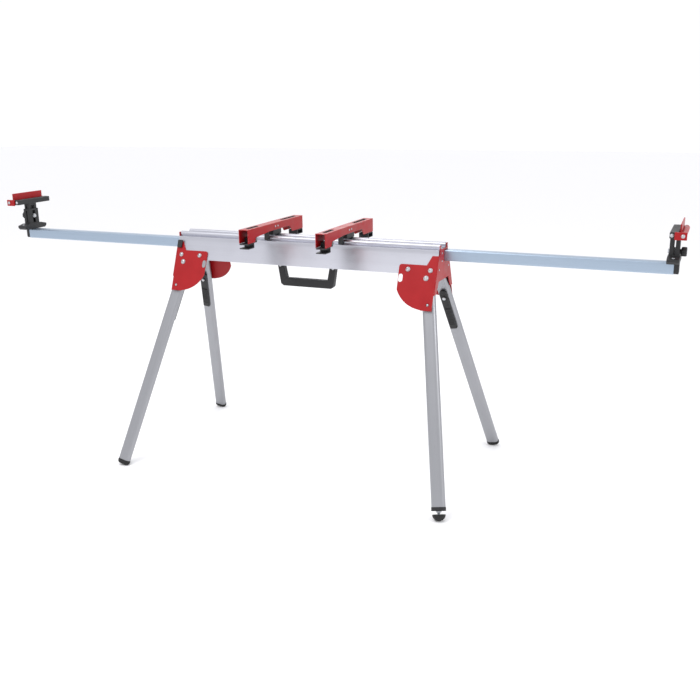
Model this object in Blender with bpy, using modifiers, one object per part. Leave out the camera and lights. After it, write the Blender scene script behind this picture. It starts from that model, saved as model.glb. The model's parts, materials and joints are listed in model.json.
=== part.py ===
"""A folding stand for a mitre saw: an aluminium beam on four folding legs, two sliding extension
rails with work supports at their outer ends, and two clamp-on brackets that carry the saw.

Frame: X along the beam, -Y the working side, +Z up, the floor at Z = 0, metres.
"""

from math import cos, pi, radians, sin, tan

import bmesh
import bpy
from mathutils import Matrix

# ---- Driving dimensions -----------------------------------------------------------------------
GAP = 0.0003  # between pieces that touch

BEAM_LENGTH = 1.0420
BEAM_TOP = 0.8600
DECK_TOP = 0.8425
BEAM_SHOULDER = 0.8260
BEAM_BOTTOM = 0.7600
BEAM_WALL = 0.0030
SIDE_TILT = radians(22.0)
TOP_RAIL_CENTRE = 0.0300
TOP_RAIL_RADIUS = 0.0090
TOP_RAIL_NECK = 0.0060

PLATE = 0.0030
PIVOT_INSET = 0.0335
PIVOT_HEIGHT = 0.7506
PIVOT_HALF_SPREAD = 0.0833
PLATE_REACH = 0.1100
PLATE_DROP = 0.1115
PLATE_INNER_TOP = 0.0450
PLATE_EAR_TOP = 0.0785
PLATE_EAR_WIDTH = 0.0206
FLANGE_WIDTH = 0.0250
FLANGE_BOTTOM = 0.6970
WEB_BOTTOM = 0.7360
WEB_RISE = 0.0080  # how much narrower than the flanges leave it the web's notch is
EAR_WIDTH = 0.0140
EAR_MARGIN = 0.0040
EAR_DROP = 0.0030
PLATE_CORNER = 0.0090
PLATE_HEEL = 0.0040
EAR_RUN = 0.0160
ARC_START = 204.0  # degrees round from +X: the leg plate's curved edge
ARC_END = 261.0
PLATE_SLOT_WIDTH = 0.0160
PLATE_SLOT_LENGTH = 0.0290
PLATE_SLOT_DROP = 0.0035
LOCK_BLOCK = (0.0200, 0.0087, 0.0300)
LOCK_BLOCK_INSET = 0.0105
LOCK_BLOCK_RISE = 0.0680

LEG_WIDTH = 0.0480
LEG_DEPTH = 0.0270
LEG_WALL = 0.0020
LEG_ROUND = 0.0130
LEG_TOP = 0.0190
WASHER = 0.0070
SPLAY = radians(10.4)
PIVOT_BOLT = 0.0050
PIVOT_COLLAR = 0.0095
PIVOT_HEAD_TALL = 0.0045
PIVOT_NUT = 0.0080
PIVOT_NUT_TALL = 0.0055
BOLT_EASE = 0.0010
LEG_LIFT = 0.0200
FOOT_LIP = 0.0010
FOOT_ROUND = 0.0125
FOOT_FLAT = 0.0010  # how much of each domed underside the floor takes off
PLUG_THICK = 0.0130
LEVEL_STUD = 0.0055
LEVEL_LIFT = 0.0433
LEVEL_PAD = 0.0225
LEVEL_PAD_TOP = 0.0206

LOCK_RADIUS = 0.0925
LOCK_PIN = 0.0045
LEVER_TOP = 0.0600
LEVER_LENGTH = 0.1660
LEVER_WIDTH = 0.0280
LEVER_THICK = 0.0090
LEVER_STANDOFF = 0.0008
LEVER_CORNER = 0.0060
LEVER_HOLE_FIT = 0.0014
PIN_HEAD = 0.0060
PIN_HEAD_TALL = 0.0035
PIN_SHORT = 0.0006  # how far the pin's tip stays off the leg plate

RAIL_SIZE = 0.0380
RAIL_WALL = 0.0018
RAIL_ROUND = 0.0060
RAIL_TOP = 0.8360
RAIL_LANE = 0.0220
RAIL_REACH = 1.2700
RAIL_LENGTH = 1.0000
RAIL_CAP = 0.0150
RAIL_CAP_FIT = 0.0010
GUIDE_DEPTH = 0.0300
GUIDE_FIT = 0.0005
GUIDE_FLOOR = 0.0060
WINDOW_FIT = 0.0012

SUPPORT_INSET = 0.0025  # from the rail end to the middle of its support
BASE_LENGTH = 0.1240
BASE_WIDTH = 0.0380
BASE_TALL = 0.0220
BASE_STEP = 0.0360
BASE_EDGE = 0.0080
COLUMN_WIDTH = 0.0300
COLUMN_DEPTH = 0.0520
COLUMN_TOP = 0.9185
COLUMN_WALL = 0.0030
SLOT_WIDTH = 0.0140
SIDE_SLOT_WIDTH = 0.0060
SLOT_START = 0.0040
POST_LENGTH = 0.0600
HEAD_LENGTH = 0.1840
HEAD_SHIFT = 0.0095
HEAD_INNER = 0.0150
HEAD_OUTER = 0.0120
HEAD_TALL = 0.0200
HEAD_BOTTOM = {"left": 0.9400, "right": 0.9200}
HEIGHT_BOLT_DROP = 0.0505
HEIGHT_BOLT = 0.0040
STOP_AXIS_OUT = 0.0245
STOP_BARREL = 0.0100
STOP_FIN = 0.0250
STOP_FIN_END = 0.0060
STOP_THICK = 0.0040
STOP_BLOCK_THICK = 0.0080
STOP_BLOCK_WIDTH = 0.0360
STOP_BLOCK_LIP = 0.0015
KNOB_RADIUS = 0.0150
KNOB_THICK = 0.0165
KNOB_EASE = 0.0020
BOLT_HEAD_TALL = 0.0040

BRACKET_PLACES = {"left": -0.1410, "right": 0.1560}
BRACKET_WIDTH = 0.0380
BRACKET_LENGTH = 0.4300
BRACKET_TOP = 0.9050
BRACKET_SHEET = 0.0025
BRACKET_MIDDLE = 0.8790
BRACKET_END = 0.8560
BRACKET_GRIP = 0.0200
BRACKET_RAMP_START = -0.0570
FRONT_RAMP = (0.0060, 0.0150)
REAR_RAMP = 0.0200
SLOT_ACROSS = 0.0110
SLOT_PLACES = {"front": (-0.1500, 0.0700), "rear": (0.1280, 0.1100)}
GRIP_WALL = 0.0040
PAD_LENGTH = 0.0500
PAD_WALL = 0.0070
CLAMP_PIN = 0.0030
CLAMP_PIN_HEAD = 0.0055
CLAMP_PIN_HEAD_TALL = 0.0032
CLAMP_PIN_FIT = 0.0004
CLAMP_PIN_RUN = 0.0120
CLAMP_PIN_RISE = 0.0095
LEVER_SIDE_FIT = 0.0008
LEVER_ARM_TOP = 0.0065
LEVER_ARM_NOSE = 0.0070
LEVER_ARM_TAIL = -0.0260
GRIP_TAIL = -0.0170
JAW_WIDTH = 0.0160
JAW_THICK = 0.0100
JAW_FIT = 0.0020
JAW_TOP_DROP = 0.0120
EASE = 0.0010  # small roundings on moulded and cut pieces
SADDLE_FRONT = 0.0240
SADDLE_REAR = 0.0400
BRACKET_FRONT_DEEP = 0.0480
BRACKET_REAR_DEEP = 0.0900

HANDLE_TOP_WIDTH = 0.2400
HANDLE_BOTTOM_WIDTH = 0.2150
HANDLE_ARM = 0.0240
HANDLE_BAR = 0.0300
HANDLE_BOTTOM = 0.6710
HANDLE_THICK = 0.0220
HANDLE_CORNER = (0.0100, 0.0080)
TONGUE_INSET = 0.0030
TONGUE_THICK = 0.0040
TONGUE_LAP = 0.0100
CUT = 0.0100  # how far a cutter passes beyond the wall it cuts

# ---- Sizes that follow from them ----------------------------------------------------------------
BEAM_END = BEAM_LENGTH / 2
PIVOT_X = BEAM_END - PIVOT_INSET
LEG_OUT = PLATE + WASHER
LEG_MIDDLE = LEG_OUT + LEG_DEPTH / 2
LEG_IN = LEG_OUT + LEG_DEPTH
END_INNER = BEAM_END + GAP
BEAM_SKIN = (PLATE + GAP) / cos(SIDE_TILT)
LEG_DROP = cos(SPLAY) * cos(SIDE_TILT)
LEG_HEIGHT = PIVOT_HEIGHT - LEG_MIDDLE * sin(SIDE_TILT)
LEVER_FULCRUM = LEVER_TOP + LEVER_THICK / 2
LEVER_FACE = LEG_IN + LEVER_STANDOFF
RAIL_BOTTOM = RAIL_TOP - RAIL_SIZE
SUPPORT_CENTRE = RAIL_REACH - SUPPORT_INSET
BASE_BOTTOM = RAIL_TOP + GAP
COLUMN_BOTTOM = BASE_BOTTOM + BASE_TALL

SIDES = {"left": -1, "right": 1}
FACES = {"front": -1, "rear": 1}


def outer_half_width(height):
    """Half the width across the outer faces of the leg plates at a height."""
    return PIVOT_HALF_SPREAD - (height - PIVOT_HEIGHT) * tan(SIDE_TILT)


# ---- Materials, objects and modelling helpers ----------------------------------------------------
def clear_scene():
    for obj in list(bpy.data.objects):
        bpy.data.objects.remove(obj, do_unlink=True)


def make_material(name, colour, roughness, metallic):
    material = bpy.data.materials.new(name)
    material.use_nodes = True
    shader = material.node_tree.nodes["Principled BSDF"]
    shader.inputs["Base Color"].default_value = (*colour, 1.0)
    shader.inputs["Roughness"].default_value = roughness
    shader.inputs["Metallic"].default_value = metallic
    return material


def make_collection(name):
    collection = bpy.data.collections.new(name)
    bpy.context.scene.collection.children.link(collection)
    return collection


def add_object(name, mesh, material, parent=None, location=(0, 0, 0), turn_y=0.0):
    """A named part that shows the mesh, placed in its parent's frame."""
    obj = bpy.data.objects.new(name, mesh)
    parts.objects.link(obj)
    if not mesh.materials:
        mesh.materials.append(material)
    obj.parent = parent
    obj.location = location
    obj.rotation_euler.y = turn_y
    return obj


def add_cutter(name, mesh, parent=None, location=(0, 0, 0), turn_y=0.0):
    obj = bpy.data.objects.new(name, mesh)
    cutters.objects.link(obj)
    obj.hide_render = True
    obj.display_type = "WIRE"
    obj.parent = parent
    obj.location = location
    obj.rotation_euler.y = turn_y
    return obj


def boolean(obj, other, operation):
    modifier = obj.modifiers.new(other.name, "BOOLEAN")
    modifier.operation = operation
    modifier.object = other


def finish_mesh(bm, name, smooth_below=35.0):
    mesh = bpy.data.meshes.new(name)
    bm.to_mesh(mesh)
    bm.free()
    mesh.shade_smooth()
    mesh.set_sharp_from_angle(angle=radians(smooth_below))
    return mesh


def box(name, low, high, bevel=0.0, segments=1):
    """A box between two corners, its edges rounded by the bevel."""
    bm = bmesh.new()
    bmesh.ops.create_cube(bm, size=1.0)
    size = [h - l for l, h in zip(low, high)]
    middle = [(l + h) / 2 for l, h in zip(low, high)]
    bmesh.ops.scale(bm, vec=size, verts=bm.verts)
    bmesh.ops.translate(bm, vec=middle, verts=bm.verts)
    if bevel:
        bmesh.ops.bevel(
            bm, geom=bm.edges, offset=bevel, segments=segments, affect="EDGES", profile=0.5, material=-1
        )
    return finish_mesh(bm, name)


AXIS_TURNS = {
    "X": Matrix.Rotation(pi / 2, 4, "Y"),
    "Y": Matrix.Rotation(-pi / 2, 4, "X"),
    "Z": Matrix.Identity(4),
}


def rod(name, radius, start, end, axis="Z", segments=24):
    """A cylinder from a point to the same point moved along one axis."""
    bm = bmesh.new()
    index = "XYZ".index(axis)
    length = end[index] - start[index]
    bmesh.ops.create_cone(
        bm, cap_ends=True, segments=segments, radius1=radius, radius2=radius, depth=length
    )
    middle = [(a + b) / 2 for a, b in zip(start, end)]
    bmesh.ops.transform(bm, matrix=Matrix.Translation(middle) @ AXIS_TURNS[axis], verts=bm.verts)
    return finish_mesh(bm, name)


def turned(name, material, profile, parent=None, location=(0, 0, 0), turn_y=0.0, steps=20, axis="Y"):
    """A lathe-turned part about the given axis; the profile's (radius, place) run down its outer side."""
    bm = bmesh.new()
    points = [(0.0, profile[0][1])] + list(profile) + [(0.0, profile[-1][1])]
    verts = [bm.verts.new((radius, 0.0, place)) for radius, place in points]
    for first, second in zip(verts, verts[1:]):
        bm.edges.new((first, second))
    bmesh.ops.transform(bm, matrix=AXIS_TURNS[axis], verts=bm.verts)
    obj = add_object(name, finish_mesh(bm, name), material, parent, location, turn_y)
    screw = obj.modifiers.new("turning", "SCREW")
    screw.axis = axis
    screw.steps = steps
    screw.render_steps = steps
    screw.use_merge_vertices = True
    screw.merge_threshold = 0.00001
    return obj


def arc(centre, radius, start, end, count):
    """Points on an arc, its angles in degrees."""
    angles = [radians(start + (end - start) * step / (count - 1)) for step in range(count)]
    return [(centre[0] + radius * cos(a), centre[1] + radius * sin(a)) for a in angles]


def round_rectangle(width, height, radius, centre=(0.0, 0.0), count=4):
    points = []
    for index, (side, level) in enumerate([(1, 1), (-1, 1), (-1, -1), (1, -1)]):
        corner = (
            centre[0] + side * (width / 2 - radius),
            centre[1] + level * (height / 2 - radius),
        )
        points += arc(corner, radius, 90 * index, 90 * index + 90, count)
    return points


def circle(centre, radius, count=20):
    return arc(centre, radius, 0, 360, count + 1)[:-1]


def extruded(name, loops, depth, turn=None):
    """A mesh of a flat outline, with the later loops as holes, extruded by the depth about its plane."""
    curve = bpy.data.curves.new(name, "CURVE")
    curve.dimensions = "2D"
    curve.fill_mode = "BOTH"
    curve.extrude = depth / 2
    for loop in loops:
        spline = curve.splines.new("POLY")
        spline.points.add(len(loop) - 1)
        spline.use_cyclic_u = True
        for point, place in zip(spline.points, loop):
            point.co = (*place, 0.0, 1.0)
    obj = bpy.data.objects.new(name, curve)
    parts.objects.link(obj)
    bpy.context.view_layer.update()
    graph = bpy.context.evaluated_depsgraph_get()
    raw = bpy.data.meshes.new_from_object(obj.evaluated_get(graph))
    bpy.data.objects.remove(obj, do_unlink=True)
    bpy.data.curves.remove(curve)
    bm = bmesh.new()
    bm.from_mesh(raw)
    bpy.data.meshes.remove(raw)
    bmesh.ops.remove_doubles(bm, verts=bm.verts, dist=0.000005)
    bmesh.ops.transform(bm, matrix=turn or Matrix.Identity(4), verts=bm.verts)
    bmesh.ops.recalc_face_normals(bm, faces=bm.faces)
    return finish_mesh(bm, name)


# The outline's axes stand on world axes: across the beam (Y, Z) or along it (X, Z).
SECTION_YZ = Matrix(((0, 0, 1, 0), (1, 0, 0, 0), (0, 1, 0, 0), (0, 0, 0, 1)))
FACE_XZ = Matrix(((1, 0, 0, 0), (0, 0, -1, 0), (0, 1, 0, 0), (0, 0, 0, 1)))


def at(x, y, z):
    return Matrix.Translation((x, y, z))


# ---- The beam and the plates at its ends --------------------------------------------------------
def beam_half_section():
    """The right half of the beam's section, from the outer foot of the wall to the inner one."""
    skin = BEAM_WALL / cos(SIDE_TILT)
    foot = outer_half_width(BEAM_BOTTOM) - BEAM_SKIN
    shoulder = outer_half_width(BEAM_SHOULDER) - BEAM_SKIN
    ceiling = DECK_TOP - BEAM_WALL
    centre = (TOP_RAIL_CENTRE, BEAM_TOP - TOP_RAIL_RADIUS)
    outer = [(foot, BEAM_BOTTOM), (shoulder, BEAM_SHOULDER), (shoulder, DECK_TOP)]
    outer += [(TOP_RAIL_CENTRE + TOP_RAIL_NECK, DECK_TOP)]
    outer += arc(centre, TOP_RAIL_RADIUS, -40, 220, 14)
    outer += [(TOP_RAIL_CENTRE - TOP_RAIL_NECK, DECK_TOP)]
    inner = [(shoulder - BEAM_WALL, ceiling), (shoulder - BEAM_WALL, BEAM_SHOULDER)]
    inner += [(foot - skin, BEAM_BOTTOM)]
    return outer, inner


def build_beam():
    outer, inner = beam_half_section()
    left_outer = [(-y, z) for y, z in reversed(outer)]
    left_inner = [(-y, z) for y, z in reversed(inner)]
    section = outer + left_outer + left_inner + inner
    add_object("beam", extruded("beam", [section], BEAM_LENGTH, SECTION_YZ), aluminium)


def corner_frame(side, face):
    """An empty on a leg's pivot: its Y runs inward along the pivot bolt and its Z up the plate."""
    empty = bpy.data.objects.new(f"pivot_{face}_{side}", None)
    parts.objects.link(empty)
    empty.location = (SIDES[side] * PIVOT_X, FACES[face] * PIVOT_HALF_SPREAD, PIVOT_HEIGHT)
    empty.rotation_euler = (-SIDE_TILT, 0.0, pi if FACES[face] > 0 else 0.0)
    return empty


def outward(side, face):
    """The local X direction that points away from the beam's middle at this corner."""
    return -SIDES[side] * FACES[face]


def plate_outline(hand):
    """A leg plate about its pivot, X outward along the beam and Y up the plate."""
    reach = PLATE_REACH
    edge = PIVOT_INSET
    ear_inner = edge - PLATE_EAR_WIDTH
    quarter = arc((0.0, 0.0), reach, ARC_START, ARC_END, 12)
    corner_x = PLATE_CORNER - reach * cos(SIDE_TILT)
    corner = arc((corner_x, PLATE_INNER_TOP - PLATE_CORNER), PLATE_CORNER, 180, 90, 5)
    points = [(edge, -PLATE_DROP), (edge, PLATE_EAR_TOP), (ear_inner, PLATE_EAR_TOP)]
    points += [(ear_inner - EAR_RUN, PLATE_INNER_TOP)]
    points += list(reversed(corner)) + quarter + [(-PLATE_HEEL, -PLATE_DROP)]
    return [(hand * x, y) for x, y in points]


def build_leg_plate(side, face, frame):
    hand = outward(side, face)
    lock = (hand * LOCK_RADIUS * sin(SPLAY), -LOCK_RADIUS * cos(SPLAY))
    slot_place = (-hand * LOCK_RADIUS, -PLATE_SLOT_DROP)
    slot_round = PLATE_SLOT_WIDTH / 2 - GAP
    slot = round_rectangle(PLATE_SLOT_WIDTH, PLATE_SLOT_LENGTH, slot_round, slot_place)
    holes = [circle((0.0, 0.0), PIVOT_BOLT + GAP), circle(lock, LOCK_PIN + EASE), slot]
    turn = at(0, PLATE / 2, 0) @ FACE_XZ
    name = f"{face}_plate_{side}"
    mesh = extruded(name, [plate_outline(hand)] + holes, PLATE, turn)
    add_object(name, mesh, red_paint, frame)


def end_plate_outline():
    """The end plate's right half, from the middle of its top edge down to the middle of its web."""
    ear_out = TOP_RAIL_CENTRE + TOP_RAIL_RADIUS + EAR_MARGIN
    ear_in = ear_out - EAR_WIDTH
    ear_top = BEAM_TOP - EAR_DROP
    rim = DECK_TOP + GAP
    base = outer_half_width(FLANGE_BOTTOM)
    points = [(ear_in, rim), (ear_in, ear_top), (ear_out, ear_top)]
    points += [(ear_out, BEAM_SHOULDER), (outer_half_width(BEAM_SHOULDER), BEAM_SHOULDER)]
    points += [(base, FLANGE_BOTTOM), (base - FLANGE_WIDTH, FLANGE_BOTTOM)]
    points += [(outer_half_width(WEB_BOTTOM) - FLANGE_WIDTH - WEB_RISE, WEB_BOTTOM)]
    return points


def rail_window(side, clearance):
    centre = (SIDES[side] * RAIL_LANE, RAIL_TOP - RAIL_SIZE / 2)
    size = RAIL_SIZE + 2 * clearance
    return round_rectangle(size, size, RAIL_ROUND, centre)


def build_end_plate(side):
    right = end_plate_outline()
    left = [(-y, z) for y, z in reversed(right)]
    name = f"end_plate_{side}"
    centre = SIDES[side] * (END_INNER + PLATE / 2)
    loops = [right + left, rail_window(side, WINDOW_FIT)]
    mesh = extruded(name, loops, PLATE, at(centre, 0, 0) @ SECTION_YZ)
    add_object(name, mesh, red_paint)


def build_rail_guide(side):
    """A plastic block inside the beam's end, with a window that its rail slides through."""
    half = outer_half_width(BEAM_SHOULDER) - BEAM_SKIN - BEAM_WALL - GAP
    top = DECK_TOP - BEAM_WALL - GAP
    bottom = RAIL_BOTTOM - GUIDE_FLOOR
    block = [(-half, bottom), (half, bottom), (half, top), (-half, top)]
    name = f"rail_guide_{side}"
    centre = SIDES[side] * (BEAM_END - GUIDE_DEPTH / 2)
    loops = [block, rail_window(side, GUIDE_FIT)]
    mesh = extruded(name, loops, GUIDE_DEPTH, at(centre, 0, 0) @ SECTION_YZ)
    add_object(name, mesh, black_plastic)


def build_rail_lock(side):
    """A small cam lever on the leg plate's ear that grips the extension rail beside it."""
    face = "front" if SIDES[side] < 0 else "rear"
    frame = corner_frames[side, face]
    hand = outward(side, face)
    centre = (hand * (PIVOT_INSET - LOCK_BLOCK_INSET), 0.0, LOCK_BLOCK_RISE)
    width, thick, tall = LOCK_BLOCK
    low = (-width / 2, -GAP - thick, -tall / 2)
    high = (width / 2, -GAP, tall / 2)
    lever = box("rail_lock", low, high, 3 * EASE, 2)
    add_object(f"rail_lock_{side}", lever, black_plastic, frame, centre)


# ---- The legs -------------------------------------------------------------------------------------
def leg_end(side, face):
    """How far below its pivot the leg's tube ends, along the leg."""
    lift = LEVEL_LIFT if is_levelling(side, face) else LEG_LIFT
    return (LEG_HEIGHT - lift) / LEG_DROP


def is_levelling(side, face):
    return side == "right" and face == "front"


def leg_outline(grown):
    """The leg's flat oval section, its outline moved outward by a distance."""
    size = (LEG_WIDTH + 2 * grown, LEG_DEPTH + 2 * grown)
    return round_rectangle(*size, LEG_ROUND + grown, count=7)


def build_leg(side, face, frame, turn):
    name = f"leg_{face}_{side}"
    end = leg_end(side, face)
    length = end + LEG_TOP
    outer = leg_outline(0)
    inner = leg_outline(-LEG_WALL)
    mesh = extruded(name, [outer, inner], length, at(0, LEG_MIDDLE, LEG_TOP - length / 2))
    leg = add_object(name, mesh, aluminium, frame, turn_y=turn)
    for label, radius, height in (
        ("pivot", PIVOT_BOLT + 2 * GAP, 0),
        ("lock", LOCK_PIN + 2 * GAP, -LOCK_RADIUS),
    ):
        start = (0.0, 0.0, height)
        end_point = (0.0, LEG_IN + CUT, height)
        cutter = rod(f"{label}_hole", radius, start, end_point, "Y", 16)
        boolean(leg, add_cutter(f"{name}_{label}_hole", cutter, frame, turn_y=turn), "DIFFERENCE")


def build_leg_pivot(side, face, frame):
    """A shoulder bolt: head outside the plate, nylon-faced collar, shank through the leg, lock nut."""
    profile = [
        (PIVOT_COLLAR - BOLT_EASE, -PIVOT_HEAD_TALL),
        (PIVOT_COLLAR, BOLT_EASE - PIVOT_HEAD_TALL),
        (PIVOT_COLLAR, -GAP),
        (PIVOT_BOLT, -GAP),
        (PIVOT_BOLT, PLATE + GAP),
        (PIVOT_COLLAR, PLATE + GAP),
        (PIVOT_COLLAR, LEG_OUT - GAP),
        (PIVOT_BOLT, LEG_OUT - GAP),
        (PIVOT_BOLT, LEG_IN + GAP),
        (PIVOT_NUT, LEG_IN + GAP),
        (PIVOT_NUT, LEG_IN + PIVOT_NUT_TALL),
    ]
    turned(f"leg_pivot_{face}_{side}", steel, list(reversed(profile)), frame, steps=16)


def floor_tilt():
    """How far upright is from each of a leg's own axes, as cosines along X, Y and Z."""
    return sin(SPLAY) * cos(SIDE_TILT), sin(SIDE_TILT), LEG_DROP


def cut_at_floor(foot):
    """Give a domed underside a small flat where it stands."""
    low = (-BEAM_LENGTH, -BEAM_LENGTH, -BEAM_BOTTOM)
    floor = box("floor", low, (BEAM_LENGTH, BEAM_LENGTH, 0.0))
    boolean(foot, add_cutter(f"{foot.name}_floor", floor), "DIFFERENCE")


def build_foot(side, face, frame, turn):
    """A rubber end cap with a rounded underside, just deep enough to touch the floor."""
    tilt_x, tilt_y, tilt_z = floor_tilt()
    half_x = LEG_WIDTH / 2 + FOOT_LIP - FOOT_ROUND
    half_y = LEG_DEPTH / 2 + FOOT_LIP - FOOT_ROUND
    hang = LEG_LIFT - tilt_x * half_x - tilt_y * half_y - FOOT_ROUND
    depth = FOOT_ROUND + (hang + FOOT_FLAT) / tilt_z
    end = leg_end(side, face) + GAP
    name = f"foot_{face}_{side}"
    cap = extruded(name, [leg_outline(FOOT_LIP)], depth - GAP, at(0, 0, (GAP - depth) / 2))
    bm = bmesh.new()
    bm.from_mesh(cap)
    rim = [e for e in bm.edges if all(v.co.z < -depth + 2 * GAP for v in e.verts)]
    rim = [e for e in rim if len(e.link_faces) == 2 and e.calc_face_angle() > 1.0]
    bmesh.ops.bevel(
        bm, geom=rim, offset=FOOT_ROUND, segments=5, affect="EDGES", profile=0.5, material=-1
    )
    place = Matrix.Rotation(turn, 4, "Y") @ Matrix.Translation((0, LEG_MIDDLE, -end)).translation
    cut_at_floor(add_object(name, finish_mesh(bm, name), rubber, frame, place, turn))


def build_levelling_foot(side, face, frame, turn):
    """An end plug, a threaded stud through it and a domed pad on the stud's end."""
    end = leg_end(side, face)
    centre = -end - GAP - PLUG_THICK / 2
    name = "levelling_plug"
    mesh = extruded(name, [leg_outline(FOOT_LIP)], PLUG_THICK, at(0, LEG_MIDDLE, centre))
    plug = add_object(name, mesh, black_plastic, frame, turn_y=turn)
    low = (0.0, LEG_MIDDLE, -end - 2 * PLUG_THICK)
    high = (0.0, LEG_MIDDLE, PLUG_THICK - end)
    hole = rod("plug_hole", LEVEL_STUD + 2 * GAP, low, high, "Z", 20)
    boolean(plug, add_cutter("levelling_plug_hole", hole, frame, turn_y=turn), "DIFFERENCE")
    tilt = (1.0 - LEG_DROP**2) ** 0.5
    reach = LEVEL_PAD_TOP + FOOT_FLAT
    pad_deep = (reach**2 - (LEVEL_PAD * tilt) ** 2) ** 0.5 / LEG_DROP
    pad_top = (LEG_HEIGHT - LEVEL_PAD_TOP) / LEG_DROP
    low = (0.0, LEG_MIDDLE, -pad_top + GAP)
    high = (0.0, LEG_MIDDLE, -end + 2 * PLUG_THICK)
    stud = rod("levelling_stud", LEVEL_STUD, low, high, "Z", 20)
    add_object("levelling_stud", stud, steel, frame, turn_y=turn)
    dome = [(radius * LEVEL_PAD, level * pad_deep) for radius, level in arc((0, 0), 1.0, 0, -82, 8)]
    place = Matrix.Rotation(turn, 4, "Y") @ Matrix.Translation((0, LEG_MIDDLE, -pad_top)).translation
    pad = turned("levelling_pad", rubber, dome, frame, place, turn, steps=24, axis="Z")
    cut_at_floor(pad)


def build_release_lever(side, face, frame, turn):
    """A plastic lever on the leg's inner face that draws the lock pin back."""
    half = LEVER_WIDTH / 2
    top = arc((0.0, -LEVER_TOP - half), half, 0, 180, 9)
    bottom = -LEVER_TOP - LEVER_LENGTH
    outline = top + [(-half, bottom + LEVER_CORNER), (LEVER_CORNER - half, bottom)]
    outline += [(half - LEVER_CORNER, bottom), (half, bottom + LEVER_CORNER)]
    hole = circle((0.0, -LOCK_RADIUS), LOCK_PIN + LEVER_HOLE_FIT, 16)
    fulcrum = (0.0, LEVER_FACE + LEVER_THICK / 2, -LEVER_FULCRUM)
    shift = at(0, 0, LEVER_FULCRUM) @ FACE_XZ
    name = f"release_lever_{face}_{side}"
    mesh = extruded(name, [outline, hole], LEVER_THICK, shift)
    place = Matrix.Rotation(turn, 4, "Y") @ Matrix.Translation(fulcrum).translation
    add_object(name, mesh, black_plastic, frame, place, turn)


def build_lock_pin(side, face, frame, turn):
    """The spring pin that holds the leg: it points at the plate's lock hole, drawn by the lever."""
    head = LEVER_FACE + LEVER_THICK + BOLT_EASE
    profile = [
        (PIN_HEAD - BOLT_EASE, head + PIN_HEAD_TALL),
        (PIN_HEAD, head + PIN_HEAD_TALL - BOLT_EASE),
        (PIN_HEAD, head),
        (LOCK_PIN, head),
        (LOCK_PIN, PLATE + 2 * PIN_SHORT),
        (LOCK_PIN - PIN_SHORT, PLATE + PIN_SHORT),
    ]
    place = Matrix.Rotation(turn, 4, "Y") @ Matrix.Translation((0, 0, -LOCK_RADIUS)).translation
    turned(f"lock_pin_{face}_{side}", steel, profile, frame, place, turn, steps=16)


def build_corner(side, face):
    frame = corner_frame(side, face)
    corner_frames[side, face] = frame
    turn = -outward(side, face) * SPLAY
    build_leg_plate(side, face, frame)
    build_leg(side, face, frame, turn)
    build_leg_pivot(side, face, frame)
    build_release_lever(side, face, frame, turn)
    build_lock_pin(side, face, frame, turn)
    if is_levelling(side, face):
        build_levelling_foot(side, face, frame, turn)
    else:
        build_foot(side, face, frame, turn)


# ---- Extension rails and work supports ----------------------------------------------------------
def build_rail(side):
    way = SIDES[side]
    centre = (way * RAIL_LANE, RAIL_TOP - RAIL_SIZE / 2)
    outer = round_rectangle(RAIL_SIZE, RAIL_SIZE, RAIL_ROUND, centre)
    hollow = RAIL_SIZE - 2 * RAIL_WALL
    inner = round_rectangle(hollow, hollow, RAIL_ROUND - RAIL_WALL, centre)
    middle = way * (RAIL_REACH - RAIL_LENGTH / 2)
    name = f"extension_rail_{side}"
    mesh = extruded(name, [outer, inner], RAIL_LENGTH, at(middle, 0, 0) @ SECTION_YZ)
    add_object(name, mesh, zinc_steel)
    cap = round_rectangle(RAIL_SIZE - RAIL_CAP_FIT, RAIL_SIZE - 2 * RAIL_CAP_FIT, RAIL_ROUND, centre)
    cap_middle = way * (RAIL_REACH + GAP + RAIL_CAP / 2)
    cap_name = f"rail_cap_{side}"
    mesh = extruded(cap_name, [cap], RAIL_CAP, at(cap_middle, 0, 0) @ SECTION_YZ)
    add_object(cap_name, mesh, black_plastic)


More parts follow.
